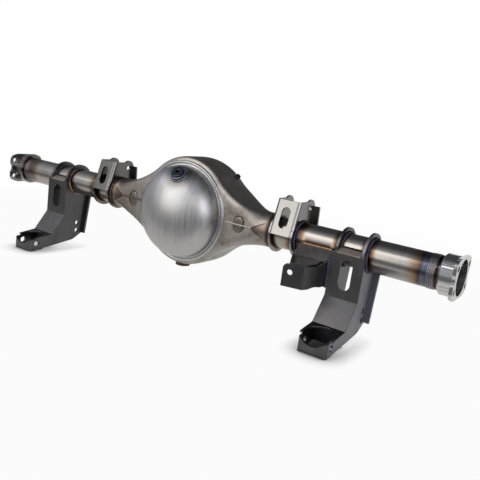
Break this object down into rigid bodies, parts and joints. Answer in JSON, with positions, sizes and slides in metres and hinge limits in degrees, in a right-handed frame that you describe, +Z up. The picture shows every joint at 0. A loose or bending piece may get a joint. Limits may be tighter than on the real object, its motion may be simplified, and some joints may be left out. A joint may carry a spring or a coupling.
{
  "type": "axle housing",
  "caption": "Fabricated banjo axle housing with a domed back, open carrier face, flanged bearing ends and welded link, shock and track-bar brackets.",
  "frame": {"origin": "on the axle line, half way between the two bearing end flanges", "axes": "+X along the axle line, +Y towards the open carrier face, +Z up, the domed back at -Y"},
  "size_m": [1.4478, 0.2805, 0.3535],
  "materials": {
    "banjo_steel": "bare stamped steel, lightly stained by heat",
    "dome_steel": "satin brushed bare steel",
    "tube_steel": "bare drawn tube with heat tint at the welds",
    "bearing_end_steel": "machined bright steel",
    "bracket_plate": "dark mill-scale plate",
    "stud_steel": "plain steel",
    "plug_steel": "black oxide",
    "drain_steel": "heat-browned steel"
  },
  "bodies": {
    "root": {"banjo_upper_half": "banjo_steel", "banjo_lower_half": "banjo_steel", "banjo_upper_neck_left": "banjo_steel", "banjo_upper_neck_right": "banjo_steel", "banjo_lower_neck_left": "banjo_steel", "banjo_lower_neck_right": "banjo_steel", "rear_dome": "dome_steel", "carrier_ring": "banjo_steel", "carrier_studs": "stud_steel", "filler_bung": "plug_steel", "filler_plug": "plug_steel", "drain_bung": "drain_steel", "drain_plug": "drain_steel", "vent_fitting": "plug_steel", "axle_tube_left": "tube_steel", "axle_tube_right": "tube_steel", "bearing_end_left": "bearing_end_steel", "bearing_end_right": "bearing_end_steel", "upper_bracket_left": "bracket_plate", "upper_bracket_right": "bracket_plate", "lower_inner_plate_left": "bracket_plate", "lower_inner_plate_right": "bracket_plate", "lower_outer_plate_left": "bracket_plate", "lower_outer_plate_right": "bracket_plate", "lower_face_plate_left": "bracket_plate", "lower_face_plate_right": "bracket_plate", "foot_strap_left": "bracket_plate", "foot_strap_right": "bracket_plate", "pocket_wall_left": "bracket_plate", "pocket_wall_right": "bracket_plate", "track_bar_saddle": "bracket_plate", "track_bar_tab": "bracket_plate", "track_bar_gusset": "bracket_plate"}
  },
  "joints": []
}
